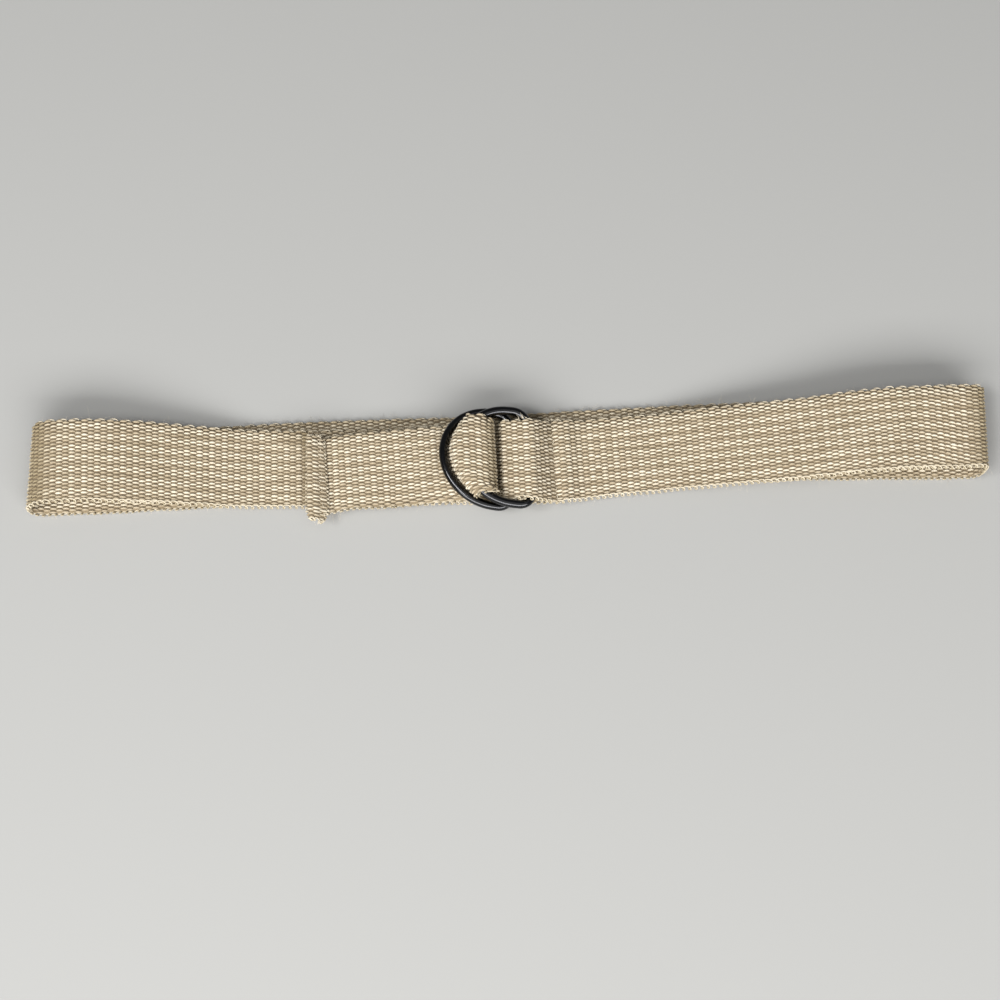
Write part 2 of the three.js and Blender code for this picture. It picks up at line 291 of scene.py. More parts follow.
def clear_of_wire(points, line):
    """Points that are nearer than WRAP to a closed line are moved straight away from it to that distance.
    The nearest point of the line is found on each of its stretches, for a chunk of points at a time."""
    flat = points.reshape(-1, 3)
    near = np.all((flat > line.min(0) - WRAP) & (flat < line.max(0) + WRAP), axis=1).nonzero()[0]
    start, stretch = line[None], (np.roll(line, -1, axis=0) - line)[None]
    for chunk in np.array_split(near, max(1, len(near) // CHUNK)):
        point = flat[chunk][:, None]
        part = np.clip(((point - start) * stretch).sum(2) / (stretch**2).sum(2), 0, 1)
        offset = point - start - part[..., None] * stretch
        distance = np.linalg.norm(offset, axis=2)
        best = distance.argmin(1)
        rows = np.arange(len(chunk))
        offset, distance = offset[rows, best], distance[rows, best][:, None]
        flat[chunk] += offset * (np.maximum(distance, WRAP) / distance - 1)
    return flat.reshape(points.shape)


def middle_surface(along, across):
    """The webbing's middle at lengths along and places across: a grid, or pairs when along has one row."""
    number = np.clip(np.searchsorted(piece_start, along, side="right") - 1, 0, len(piece_start) - 2)
    share = (along - piece_start[number]) / np.maximum(piece_length[number], SMALL)
    bend, on_run = number // 2, number % 2 == 1
    line = np.arange(len(across))
    routes = {key: value[bend, line] for key, value in lay_routes(across).items()}
    heading = np.where(on_run, routes["out"], routes["in"] + routes["turned"] * share)
    side, onward = (TURN * RADIUS)[bend], np.where(on_run, routes["run"] * share, 0)
    x = routes["x"] + side * np.sin(heading) + onward * np.cos(heading)
    z = routes["z"] - side * np.cos(heading) + onward * np.sin(heading)
    turn = np.radians(smooth(LAY_TURN, along))
    out = smooth(LAY_WIDTH, along) / 2 * across
    y = smooth(LAY_ASIDE, along) + np.cos(turn) * out
    points = np.stack([x - np.sin(turn) * out, y, z], axis=2)
    return clear_of_wire(clear_of_wire(points, lower_line), upper_line)


def unit(vectors):
    """The same directions with length 1."""
    return vectors / np.linalg.norm(vectors, axis=-1, keepdims=True)


def webbing(along, across):
    """Middle points, and the directions along, across and out of the webbing."""
    onward = unit(middle_surface(along + SMALL, across) - middle_surface(along - SMALL, across))
    sideways = middle_surface(along, across + SMALL) - middle_surface(along, across - SMALL)
    outward = unit(np.cross(onward, sideways))
    return middle_surface(along, across), onward, np.cross(outward, onward), outward


shoulder = middle_surface(np.full((1, 1), mid_bend["right_shoulder"]), np.zeros(1))
print("at the right shoulder the middle of the webbing is", round(float(shoulder[0, 0, 2]), 1), "mm high")

# %% [markdown]
# ## Straight rows
#
# The wefts stay straight across the webbing even where the curved rings hold one line of it further
# back than the next. Rows at equal lengths of the route would bend there. So between the turn through
# the rings and the place where the tail lands, each line is measured by its own length.

# %% Lengths of the rows
FINE_STOPS = 400


def row_lengths(reached, across):
    """Where each line of the webbing has reached a length, as a grid of lengths of the route."""
    start, end = mid_bend["fold_back"], mid_bend["tail_landing"]
    stops = np.linspace(start, end, FINE_STOPS)
    steps = np.linalg.norm(np.diff(middle_surface(stops[:, None], across), axis=0), axis=2)
    own = np.vstack([np.zeros(len(across)), np.cumsum(steps, axis=0)]) / steps.sum(0)
    lengths = np.repeat(reached[:, None], len(across), axis=1)
    inside = (reached > start) & (reached < end)
    share = (reached[inside] - start) / (end - start)
    lengths[inside] = np.stack([np.interp(share, line, stops) for line in own.T], axis=1)
    return lengths


ring_row = row_lengths(np.array([mid_bend["over_lower_ring"]]), np.array([-1, 1]))[0]
print("the row at the lower ring meets the near and far edges at lengths", np.round(ring_row, 1), "mm")

# %% [markdown]
# ## Where it is sewn down
#
# Stitches press the layers together. Beside the two seams every point above a base height is brought
# down towards it, most at the stitch line, and so the layers under it grow thinner too. The near end of
# the hem passes the other layers, and there it is rounded. The layers could be sculpted by hand, but a
# formula on the points moves yarns and stitches alike.

# %% Sewn places
SEAM_X, SEAM_BASE, SEAM_SINK, SEAM_REACH = 21.3, SEAM_FLAP - BACK, 0.22, 1.6
HEM_START, HEM_SLOPE, HEM_SINK = -87.5, 8.5, 0.78
HEM_BASE, HEM_STOP = TAIL + BACK, HEM_START + 3 * HEM_SLOPE
UNDER_HEM, UNDER_FADE = HEM_START + 7.5, 4
STITCH_LEAN = 0.05
ROUND_FROM, ROUND_CENTRE, ROUND = -25, -83.8, 0.009


def sewn_down(points):
    """Heights above a base shrink by a bell of x at the seam, and by a smooth step of x at the hem, with x
    leaned a little as the rows of stitches are. Past the near edge of the layers below, the hem and the
    webbing just under it narrow with the square of the distance."""
    x, y, z = np.moveaxis(points, -1, 0)
    leaned = x + STITCH_LEAN * (y - LAY_ASIDE[RING_ROW])
    seam = SEAM_SINK * np.exp(-(((leaned - SEAM_X) / SEAM_REACH) ** 2))
    seam = seam * (z > SEAM_BASE) * (z < TAIL + PITCH)
    step = np.clip((leaned - HEM_START) / HEM_SLOPE, 0, 1)
    hem = HEM_SINK * step**2 * (3 - 2 * step) * (z > HEM_BASE) * (leaned < HEM_STOP)
    base = np.where(hem > 0, HEM_BASE, SEAM_BASE)
    lowered = base + (z - base) * (1 - seam - hem)
    under_hem = np.clip((UNDER_HEM - leaned) / UNDER_FADE, 0, 1)
    on_hem = np.where(z > HEM_BASE, 1, under_hem) * (leaned < HEM_STOP)
    narrower = ROUND * np.maximum(ROUND_FROM - y, 0) ** 2 * on_hem
    return np.stack([x + (ROUND_CENTRE - x) * narrower, y, lowered], axis=-1)


print("heights shrink by", SEAM_SINK, "of themselves at the seam and by", HEM_SINK, "at the hem")

# %% [markdown]
# ## Making tubes
#
# Yarns, wires, stitches and the inner band are all the same kind of surface: a closed section carried
# along a line. Each could be an object of its own, but thousands of objects are slow. So one helper
# turns a grid of points into a mesh, many tubes at a time.

# %% Mesh helpers
def tube_faces(tubes, stations, sides, ring=False):
    """Four-sided faces of tubes whose points are counted tube by tube, station by station, side by side.
    An open tube gets a flat cap at each end, and a ring joins its last station to its first."""
    t, s, k = np.meshgrid(np.arange(tubes), np.arange(stations if ring else stations - 1), np.arange(sides),
                          indexing="ij")
    onward, aside = (s + 1) % stations, (k + 1) % sides
    pairs = ((s, k), (s, aside), (onward, aside), (onward, k))
    corners = [(t * stations + station) * sides + side for station, side in pairs]
    walls = np.stack(corners, axis=-1).reshape(-1, 4)
    if ring:
        return [walls]
    first = (np.arange(tubes) * stations * sides)[:, None]
    last = first + (stations - 1) * sides
    return [walls, first + np.arange(sides)[::-1], last + np.arange(sides)]


def piece(name, points, faces, material, stands_for=(), values=None, uv=None):
    """A mesh object from points in millimetres and arrays of faces, riding on the belt."""
    points = (points.reshape(-1, 3) + SHIFT) * MM
    points[:, 2] = np.maximum(points[:, 2], 0)
    corners = np.concatenate([group.ravel() for group in faces])
    sizes = np.concatenate([np.full(len(group), group.shape[1]) for group in faces])
    mesh = bpy.data.meshes.new(name)
    mesh.vertices.add(len(points))
    mesh.vertices.foreach_set("co", points.astype(np.float32).ravel())
    mesh.loops.add(len(corners))
    mesh.loops.foreach_set("vertex_index", corners.astype(np.int32))
    mesh.polygons.add(len(sizes))
    mesh.polygons.foreach_set("loop_start", (np.cumsum(sizes) - sizes).astype(np.int32))
    mesh.update(calc_edges=True)
    mesh.shade_smooth()
    for key, value in (values or {}).items():
        attribute = mesh.attributes.new(key, "FLOAT", "POINT")
        attribute.data.foreach_set("value", value.astype(np.float32).ravel())
    if uv is not None:
        corner_uv = uv.reshape(-1, 2)[corners]
        uv_map = mesh.uv_layers.new(name="UVMap")
        uv_map.data.foreach_set("uv", corner_uv.astype(np.float32).ravel())
    mesh.validate()
    mesh.materials.append(material)
    made = bpy.data.objects.new(name, mesh)
    bpy.context.scene.collection.objects.link(made)
    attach(made, "root")
    if stands_for:
        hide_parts(*stands_for)
    print(name, "has", int((sizes - 2).sum()), "triangles")
    return made


walls, _, _ = tube_faces(1, 3, 6)
print("a six-sided tube with three stations has", len(walls), "walls and two caps")

# %% [markdown]
# ## Writing shaders as sums
#
# A node tree is easier to read as arithmetic. `Value` wraps a socket, so that `1 - mask` or
# `wave * 0.5` adds the Math node that it needs.

# %% Shader arithmetic
class Value:
    """A socket of a material's node tree, with the arithmetic that adds Math nodes."""

    def __init__(self, tree, socket):
        self.tree, self.socket = tree, socket

    def node(self, kind, settings=None, out=0, **inputs):
        """Any node: its settings first, then the values or links of its sockets by name or place."""
        made = self.tree.nodes.new("ShaderNode" + kind)
        for key, value in (settings or {}).items():
            setattr(made, key, value)
        for key, value in inputs.items():
            place = int(key[1:]) if key[1:].isdigit() else key.replace("_", " ")
            if isinstance(value, Value):
                self.tree.links.new(value.socket, made.inputs[place])
            else:
                made.inputs[place].default_value = value
        return Value(self.tree, made.outputs[out])

    def math(self, operation, other, clamp=False):
        """A Math node on this value and another, kept between 0 and 1 when clamp is true."""
        return self.node("Math", {"operation": operation, "use_clamp": clamp}, _0=self, _1=other)

    def __add__(self, other):
        return self.math("ADD", other)

    def __mul__(self, other):
        return self.math("MULTIPLY", other)

    def __sub__(self, other):
        return self.math("SUBTRACT", other)

    def __rsub__(self, other):
        return self.node("Math", {"operation": "SUBTRACT"}, _0=other, _1=self)

    __radd__, __rmul__ = __add__, __mul__

    def mix(self, low, high):
        """A colour between two others, or the links that bring them."""
        return self.node("Mix", {"data_type": "RGBA"}, out=2, _0=self, _6=low, _7=high)

    def tinted(self, tint):
        """This colour times another."""
        settings = {"data_type": "RGBA", "blend_type": "MULTIPLY"}
        return self.node("Mix", settings, out=2, _0=1.0, _6=self, _7=tint)


def material(name, colour, roughness, metallic=0.0):
    """A new material with its Principled shader, and a Value to start expressions from."""
    made = bpy.data.materials.new(name)
    made.use_nodes = True
    shader = made.node_tree.nodes["Principled BSDF"]
    shader.inputs["Base Color"].default_value = (*colour, 1)
    shader.inputs["Roughness"].default_value = roughness
    shader.inputs["Metallic"].default_value = metallic
    return made, shader, Value(made.node_tree, None)


def feed(shader, name, value):
    """Links a value to one of the shader's sockets."""
    value.tree.links.new(value.socket, shader.inputs[name])


print("values of a material can now be added, subtracted, multiplied and mixed")

# %% [markdown]
# ## Cotton yarn
#
# The yarn is unbleached cotton. Every other group of three yarns was spun from darker fibre, which gives
# the webbing its stripes. In the dips and on the flanks, each yarn has a darker tint of its own colour,
# which is painted shade. The colours could come from a picture, but attributes of the mesh keep them on
# the right yarn: `tone` runs from tan to cream, and `crest` from the painted shade of the dips to the
# crests.
# The twist of the yarn is a fine bump that follows the yarn's own UV map.

# %% Yarn material
CREAM = (0.765, 0.685, 0.538, 1)
TAN = (0.459, 0.38, 0.264, 1)
# Painted shade: the tint that a low crest gives the dips and flanks of the yarns.
DIP_SHADE = (0.54, 0.505, 0.405, 1)
WHITE = (1, 1, 1, 1)
CLOUDS_PER_METRE, CLOUD_SHARE = 55.0, 0.5
FIBRES_PER_METRE, FIBRE_SHARE = 900.0, 0.3
TWIST_TURNS, TWIST_SHARE = 7.0, 0.6
TWIST_STRENGTH, TWIST_DEPTH = 0.35, 0.00012
YARN_SPECULAR, YARN_SHEEN, SHEEN_ROUGHNESS = 0.25, 0.08, 0.5


def yarn_material(name):
    """Cotton: tan to cream by the tone plus two noises, times the painted shade of the dips and flanks by
    the crest. The bump is a wave for the twist plus the fine noise for the fibres."""
    made, shader, start = material(name, CREAM[:3], roughness=0.88)
    tone = start.node("Attribute", {"attribute_name": "tone"}, out=2)
    crest = start.node("Attribute", {"attribute_name": "crest"}, out=2)
    place = start.node("TexCoord", out=3)
    cloud = start.node("TexNoise", Vector=place, Scale=CLOUDS_PER_METRE, Detail=3.0)
    fibre = start.node("TexNoise", Vector=place, Scale=FIBRES_PER_METRE, Detail=2.0)
    shade = tone + (cloud - 0.5) * CLOUD_SHARE + (fibre - 0.5) * FIBRE_SHARE
    shade = shade.math("ADD", 0.0, clamp=True)
    feed(shader, "Base Color", shade.mix(TAN, CREAM).tinted(crest.mix(DIP_SHADE, WHITE)))
    uv = start.node("UVMap", out=0)
    twist = start.node("TexWave", {"bands_direction": "DIAGONAL"}, out=1, Vector=uv, Scale=TWIST_TURNS,
                       Distortion=1.5, Detail=2.0)
    height = twist * TWIST_SHARE + fibre * (1 - TWIST_SHARE)
    feed(shader, "Normal", start.node("Bump", Strength=TWIST_STRENGTH, Distance=TWIST_DEPTH, Height=height))
    shader.inputs["Specular IOR Level"].default_value = YARN_SPECULAR
    shader.inputs["Sheen Weight"].default_value = YARN_SHEEN
    shader.inputs["Sheen Roughness"].default_value = SHEEN_ROUGHNESS
    return made


cotton_yarn = yarn_material("cotton_yarn")
print("the cotton has", len(cotton_yarn.node_tree.nodes), "shader nodes")

# %% [markdown]
# ## Warp yarns
#
# Forty-four warp yarns lie side by side. Each rides over one weft and under the next, and its
# neighbours do the opposite, so the floats sit like bricks whose ends reach in between each other.
# Four stations carry a yarn from one crest to the next dip: the crest, the end of the float, the
# crossing and the start of the next float. A yarn spreads at its crest and is narrow where it dives.
# The weave could be a displaced sheet, but then no yarn could pass under another.

# %% Sizes of the weave
YARNS = 44
WEFT_PITCH = 2.74
YARN_STOPS = np.array([0, 0.3, 0.5, 0.7])
YARN_LIFT = np.array([0.6, 0.5, 0, -0.5])
YARN_HALF_WIDTH = np.array([0.54, 0.46, 0.3, 0.46])
YARN_HALF_HEIGHT = np.array([0.5, 0.44, 0.4, 0.44])
# The crest of a yarn's flanks, which sets their painted shade.
YARN_FLANK = 0.69
YARN_SIDES = 6
SELVEDGE = 0.95
END_MARGIN = 0.6
STRIPE_YARNS = 3
DARK_TONE, PALE_TONE, TONE_SPREAD = 0.06, 0.94, 0.1

wefts = int((TOTAL - 2 * END_MARGIN) / WEFT_PITCH)
weft_at = np.append((np.arange(wefts)[:, None] + YARN_STOPS).ravel(), wefts)
stops = len(YARN_STOPS)
yarn_across = np.linspace(-SELVEDGE, SELVEDGE, YARNS)
dark_stripe = (np.arange(YARNS) // STRIPE_YARNS) % 2 == 0
yarn_tone = np.where(dark_stripe, DARK_TONE, PALE_TONE) + rng.uniform(-TONE_SPREAD, TONE_SPREAD, YARNS)
print(YARNS, "yarns cross", wefts, "wefts, and", int(dark_stripe.sum()), "of the yarns are dark")


def rough(lanes, reach, at=weft_at):
    """Smooth random numbers along each lane: random values at every weft, blended over a reach of wefts."""
    values = rng.standard_normal((wefts + 1 + 2 * reach, lanes))
    window = np.hanning(2 * reach + 3)[1:-1]
    window /= np.sqrt((window**2).sum())
    blended = [np.convolve(lane, window, "valid") for lane in values.T]
    return np.stack([np.interp(at, np.arange(wefts + 1), lane) for lane in blended], axis=1)


def repeated(values):
    """One value for each station of the weave, from the values of one weft."""
    return np.append(np.tile(values, wefts), values[0])[:, None]


# %% [markdown]
# ## Painted shade and slanted floats
#
# At its sharp bends, at the hem and beside it, the webbing is drawn darker with fainter stripes: this is
# painted shade. The far edge of layers that lie under others is drawn darker too, as painted shadow of
# the layer above. Beside a sharp bend the floats also lie slanted. All this could be a texture, but each
# place belongs to a bend of the route, so three tables state it there.

# %% Shaded, slanted and covered places
# Painted shade at the fold, the bend of the hem, the contact line left of the hem and the two end faces.
SHADED_PLACES = [
    # length, reach, how much of the brightness is lost to painted shade
    (mid_bend["fold_back"] + 4.6, 3.6, 0.7),
    (mid_bend["hem_outer"] - 0.5, 3, 0.35),
    (arc_start["fold_back"] - 77, 1, 0.75),
    (mid_bend["left_top"] - 1, 6.5, 0.9),
    (mid_bend["right_top"] + 1, 6.5, 0.85),
]
SLANTED = [
    # length, reach, how far the yarns swing to the side between two floats
    (mid_bend["right_top"] - 15, 14, -0.26),
    (mid_bend["left_top"] + 3, 6, 0.2),
    (mid_bend["fold_back"] + 9, 5, -0.24),
]
COVERED = [
    # start and end of a stretch that lies under another
    (mid_bend["right_bottom"] + 60, mid_bend["left_bottom"] - 40),
    (mid_bend["left_landing"] + 14, mid_bend["fold_back"] - 10),
]
# Painted shadow of the layer above on the far edge of a covered layer, and where across it starts.
UNDER_SHADOW, UNDER_SHADOW_FROM = 0.32, 0.55
GREYEST = 0.9
# How much of the stripes' tone the painted shade takes away.
STRIPES_SHADED = 0.8


def bells(table, lengths):
    """The sum of one bell for each row of a table of place, reach and size."""
    return sum(size * np.exp(-(((lengths - place) / reach) ** 2)) for place, reach, size in table)


def painted_shade(lengths, across):
    """How much painted shade the yarns get: bells of the length where the webbing bends sharply and beside
    the hem, and a step across at the far edge of the layers that lie under another, as their painted
    shadow."""
    covered = sum((lengths > start) & (lengths < end) for start, end in COVERED)
    return np.clip(bells(SHADED_PLACES, lengths) + UNDER_SHADOW * covered * (across > UNDER_SHADOW_FROM), 0, GREYEST)


# Prints where the painted shade of the fold is centred.
print("the fold is worn at", round(SHADED_PLACES[0][0]), "mm of the", round(TOTAL), "mm")

# %% Yarns that run along the belt
BUNDLES = 5
LIFT_WANDER, SIDE_WANDER, WIDTH_WANDER, TONE_WANDER = 0.1, 0.07, 0.12, 0.14


def yarn_grid():
    """Points, tone, crest and UV of all warp yarns, as arrays of yarn by station by side.

    The crest of a side sets its painted shade. It starts from that of a yarn's flank and grows as the side
    faces out of the webbing: by its share of the lift times its sine, over the sine of the highest side."""
    lengths = row_lengths(END_MARGIN + weft_at * WEFT_PITCH, yarn_across)
    points, _, sideways, outward = webbing(lengths, yarn_across)
    side_up = 1 - 2 * ((np.arange(wefts + 1)[:, None] + np.arange(YARNS)) % 2)
    side_up = np.repeat(side_up, stops, axis=0)[: len(weft_at)]
    height = side_up * repeated(YARN_LIFT) * (1 + LIFT_WANDER * rough(YARNS, 1))
    slant = bells(SLANTED, lengths) * side_up * repeated(np.sin(np.pi * YARN_STOPS))
    drift = SIDE_WANDER * rough(YARNS, 2) + slant
    width = repeated(YARN_HALF_WIDTH) * (1 + WIDTH_WANDER * rough(YARNS, 1))
    angle = np.arange(YARN_SIDES) / YARN_SIDES * 2 * np.pi
    across = (drift[..., None] + width[..., None] * np.cos(angle))[..., None]
    up = (height[..., None] + repeated(YARN_HALF_HEIGHT)[..., None] * np.sin(angle))[..., None]
    grid = sewn_down(points[:, :, None] + across * sideways[:, :, None] + up * outward[:, :, None])
    # Painted shade: the tone falls at the shaded places, so the stripes fade there.
    tone = (yarn_tone + TONE_WANDER * rough(YARNS, 1)) * (1 - STRIPES_SHADED * bells(SHADED_PLACES, lengths))
    u = np.broadcast_to(weft_at[:, None, None], grid.shape[:3])
    v = np.broadcast_to(angle / (2 * np.pi), grid.shape[:3])
    tone = np.broadcast_to(tone[..., None], grid.shape[:3])
    # Painted shade: sides that face into the webbing get a lower crest, so they are drawn darker.
    facing = (side_up * repeated(YARN_LIFT) / YARN_LIFT[0])[..., None] * np.sin(angle) / np.sin(np.pi / 3)
    crest = np.clip(YARN_FLANK + (1 - YARN_FLANK) * facing, 0, 1)
    # Painted shade and painted shadow lower the crest.
    crest = crest * (1 - painted_shade(lengths, yarn_across))[..., None]
    return [np.moveaxis(value, 1, 0) for value in (grid, tone, crest, np.stack([u, v], axis=-1))]


yarn_points, tones, crests, uvs = yarn_grid()
for number, members in enumerate(np.array_split(np.arange(YARNS), BUNDLES), start=1):
    piece(
        f"warp_yarns_{number}",
        yarn_points[members],
        tube_faces(len(members), len(weft_at), YARN_SIDES),
        cotton_yarn,
        values={"tone": tones[members], "crest": crests[members]},
        uv=uvs[members],
    )

# %% [markdown]
# ## Weft band
#
# The weft hardly shows: it is a flat ribbon of threads inside the webbing, seen as dark ribs in the
# gaps. Each thread could be a tube of its own, but so little of them shows that one closed band, which
# swells at each weft, is enough.

# %% Weft material
# Painted shade: the weft is coloured far darker than the cotton yarns, so that the gaps between the floats
# look shaded.
WEFT_DARK, WEFT_PALE = (0.17, 0.125, 0.075, 1), (0.3, 0.235, 0.15, 1)
WEFT_GRAINS_PER_METRE = 400.0
weft_thread, weft_shader, weft_start = material("weft_thread", WEFT_PALE[:3], roughness=0.95)
grain = weft_start.node("TexNoise", Vector=weft_start.node("TexCoord", out=3), Scale=WEFT_GRAINS_PER_METRE)
feed(weft_shader, "Base Color", grain.mix(WEFT_DARK, WEFT_PALE))
print("the weft has", len(weft_thread.node_tree.nodes), "shader nodes")

# %% Weft band
BAND_HALF = 0.28
BAND_RIB = 0.16
BAND_STEPS = 3
BAND_LANES = 7

band_weft = np.arange(wefts * BAND_STEPS + 1) / BAND_STEPS
lane = np.linspace(-SELVEDGE, SELVEDGE, BAND_LANES)
band_points, _, _, band_out = webbing(row_lengths(END_MARGIN + band_weft * WEFT_PITCH, lane), lane)
swell = (BAND_HALF + BAND_RIB * np.cos(2 * np.pi * band_weft))[:, None, None] * band_out
band_ring = sewn_down(np.concatenate([band_points - swell, (band_points + swell)[:, ::-1]], axis=1))
weft_band = piece("weft_band", band_ring, tube_faces(1, len(band_weft), 2 * BAND_LANES), weft_thread,
                  stands_for=["webbing_strap"])

# %% [markdown]
# ## Threads
#
# Everything else that is sewn or loose is a thin thread with its own path: the knitted chain on the
# near edge, the loops where the weft turns on the far edge, the stitches, the loose ends and the fluff.
# Curve objects could draw them, but a mesh carries the attributes that the cotton needs. So one helper
# gives each path a round section.

# %% Threads as tubes
ASLANT = (0.31, 0.17, 0.94)
EDGE_SIDES, END_SIDES, FLUFF_SIDES = 5, 4, 3
edge_thread = yarn_material("edge_thread")
print("threads have", FLUFF_SIDES, "to", EDGE_SIDES, "sides")


def thread_points(paths, radius, sides, aside):
    """A round section square to each path: paths is threads by stops by 3, radius fits threads by stops.
    The section starts from the direction that is square to both the path and the direction aside."""
    tangent = unit(np.gradient(paths, axis=1))
    flank = unit(np.cross(tangent, aside))
    angle = np.arange(sides) / sides * 2 * np.pi
    circle = (np.cos(angle)[:, None] * flank[:, :, None]
              + np.sin(angle)[:, None] * np.cross(tangent, flank)[:, :, None])
    return paths[:, :, None] + np.broadcast_to(radius, paths.shape[:2])[..., None, None] * circle


def threads(name, paths, radius, sides, tone, aside=ASLANT, crest=0.95):
    """Many threads in one piece: tone is one number or one for each thread, crest one for each stop, and
    aside a direction that no path follows."""
    points = thread_points(sewn_down(paths), radius, sides, aside)
    shape = points.shape[:3]
    tone = np.broadcast_to(np.reshape(tone, (-1, 1, 1)), shape)
    crest = np.broadcast_to(np.reshape(crest, (-1, 1)), shape)
    u = np.broadcast_to(np.arange(shape[1])[:, None] / 2, shape)
    v = np.broadcast_to(np.arange(sides) / sides, shape)
    piece(
        name,
        points,
        tube_faces(*shape),
        edge_thread,
        values={"tone": tone, "crest": crest},
        uv=np.stack([u, v], axis=-1),
    )


def place_on(reached, across):
    """Points and directions of the webbing at pairs of a length and a place across."""
    values = webbing(np.reshape(reached, (1, -1)), np.ravel(across))
    return [value.reshape(*np.shape(reached), 3) for value in values]


def at_edge(side, weft):
    """Points and directions of the webbing at one place across, at lengths that are counted in wefts."""
    edge = np.array([side])
    values = webbing(row_lengths(END_MARGIN + np.ravel(weft) * WEFT_PITCH, edge), edge)
    return [value[:, 0].reshape(*np.shape(weft), 3) for value in values]


# %% [markdown]
# ## Chain on the near edge
#
# A needle loom brings the weft from one side, and a knitted chain locks it on the other. Each loop of
# the chain could be knitted in full, but only its outer turn shows. So the chain is one thread that goes
# round once for each weft: forwards and back along the belt, and up and down over the edge.

# %% Chain on the near edge
CHAIN_STEPS = 8
CHAIN_THREAD = 0.31
CHAIN_SWING, SWING_WANDER = 1.2, 0.15
CHAIN_RISE, RISE_WANDER = 0.72, 0.12
CHAIN_OUT, OUT_WANDER = 0.9, 0.12
CHAIN_TILT, CHAIN_SKEW = 0.62, 0.14
CHAIN_BRIGHT, CHAIN_SHADE, SHADE_LAG, SHADE_WANDER = 0.52, 0.42, 0.9, 0.12
CHAIN_DARKEST, CHAIN_TONE = 0.05, 0.75

chain_at = np.arange(wefts * CHAIN_STEPS) / CHAIN_STEPS
round_loop = 2 * np.pi * chain_at
forwards, upwards = np.sin(round_loop), np.cos(round_loop)
points, onward, sideways, outward = at_edge(-SELVEDGE, chain_at)
wander = rough(3, 1, chain_at)
swing = (CHAIN_SWING * (1 + SWING_WANDER * wander[:, 0]) * forwards)[:, None]
rise = (CHAIN_RISE * (1 + RISE_WANDER * wander[:, 1]) * upwards)[:, None]
out = (CHAIN_OUT + OUT_WANDER * wander[:, 2] - CHAIN_TILT * upwards + CHAIN_SKEW * forwards)[:, None]
chain = points + swing * onward + rise * outward - out * sideways
# Painted light and shade: each turn of the chain is drawn brighter on one side and darker on the other.
bright = CHAIN_BRIGHT + CHAIN_SHADE * np.sin(round_loop + SHADE_LAG) + SHADE_WANDER * wander[:, 0]
bright = np.clip(bright, CHAIN_DARKEST, 1)
threads("edge_chain", chain[None], CHAIN_THREAD, EDGE_SIDES, CHAIN_TONE, aside=(0, 1, 0), crest=bright)

# %% [markdown]
# ## Loops on the far edge
#
# On the far edge the weft turns back into the webbing, and a small loop of it shows for every second
# weft. It could be followed as one long thread, but it is hidden between the loops. So each loop is a
# thread of its own, half a turn that starts and ends inside the edge.

# %% Weft loops on the far edge
LOOP_STEPS = 8
LOOP_THREAD = 0.25
LOOP_HALF_SPAN = 0.62
LOOP_REACH, REACH_WANDER = 0.75, 0.15
LOOP_LIFT, LOOP_LIFT_SPREAD = 0.3, 0.12
LOOP_TONE, LOOP_CREST = 0.81, 0.8

first_weft = np.arange(1, wefts - 1, 2)
sweep = np.linspace(0, np.pi, LOOP_STEPS)
loop_weft = first_weft[:, None] + 0.5 - LOOP_HALF_SPAN * np.cos(sweep)
points, _, sideways, outward = at_edge(SELVEDGE, loop_weft)
longer = 1 + REACH_WANDER * rng.standard_normal((len(first_weft), 1, 1))
reach = LOOP_REACH * longer * np.sin(sweep)[:, None]
lift = LOOP_LIFT + LOOP_LIFT_SPREAD * rng.standard_normal((len(first_weft), 1, 1))
loops = points + reach * sideways + lift * outward
threads("edge_loops", loops, LOOP_THREAD, EDGE_SIDES, LOOP_TONE, aside=(0, 0, 1), crest=LOOP_CREST)

# %% [markdown]
# ## Stitches
#
# Two rows of lock stitches hold the belt: one closes the loop that carries the rings, and one holds
# the rolled hem at the tip. A texture could show them, but real threads catch the light. Each stitch is
# a short arched thread that sinks at both its ends. The rows were sewn quickly, so the stitches lean
# and wander.

# %% Stitch rows
STITCH_STEPS = 6
STITCH_PITCH = 3.6
STITCH_THREAD = 0.13
STITCH_WANDER, SHOVE_SHARE = 0.55, 0.6
STITCH_HEIGHT, STITCH_ARCH, STITCH_SINK = 0.95, 0.24, 0.5
STITCH_TONE, STITCH_CREST = 0.83, 0.75


def stitch_row(name, length, cover):
    """Stitches across the webbing at one length, each over its share of the pitch. A stitch is half a sine
    wave with its two ends sunk in, and it leans and is shoved aside at random."""
    count = int(WEB_WIDTH * SELVEDGE / STITCH_PITCH)
    share = np.linspace(0, 1, STITCH_STEPS)
    start = (np.arange(count) + 0.5 - count / 2) * STITCH_PITCH
    lean, shove = rng.normal(0, STITCH_WANDER, (2, count, 1))
    across = (start[:, None] + (share - 0.5) * STITCH_PITCH * cover) / (WEB_WIDTH / 2)
    reached = length + shove * SHOVE_SHARE + lean * (share - 0.5) * 2
    points, _, _, outward = place_on(reached, across)
    height = STITCH_HEIGHT + STITCH_ARCH * np.sin(np.pi * share) - STITCH_SINK * np.isin(share, (0, 1))
    arches = points + height[:, None] * outward
    threads(name, arches, STITCH_THREAD, EDGE_SIDES, STITCH_TONE, aside=(1, 0, 0), crest=STITCH_CREST)


SEAM_LENGTH = mid_bend["seam"] + 1.6
HEM_LENGTH = arc_start["hem_inner"] - 0.4
stitch_row("seam_stitches", SEAM_LENGTH, 0.55)
stitch_row("hem_stitches", HEM_LENGTH, 0.4)

# %% [markdown]
# ## Loose ends and fluff
#
# Cut thread ends stick out where a row of stitches starts and stops, and beside the far ring a little
# tuft has worked loose. Worn cotton also grows a fine fluff, most of it on the edges. A hair system
# could grow both, but the part is handed on as meshes. So they are the same threads once more, with
# random directions.

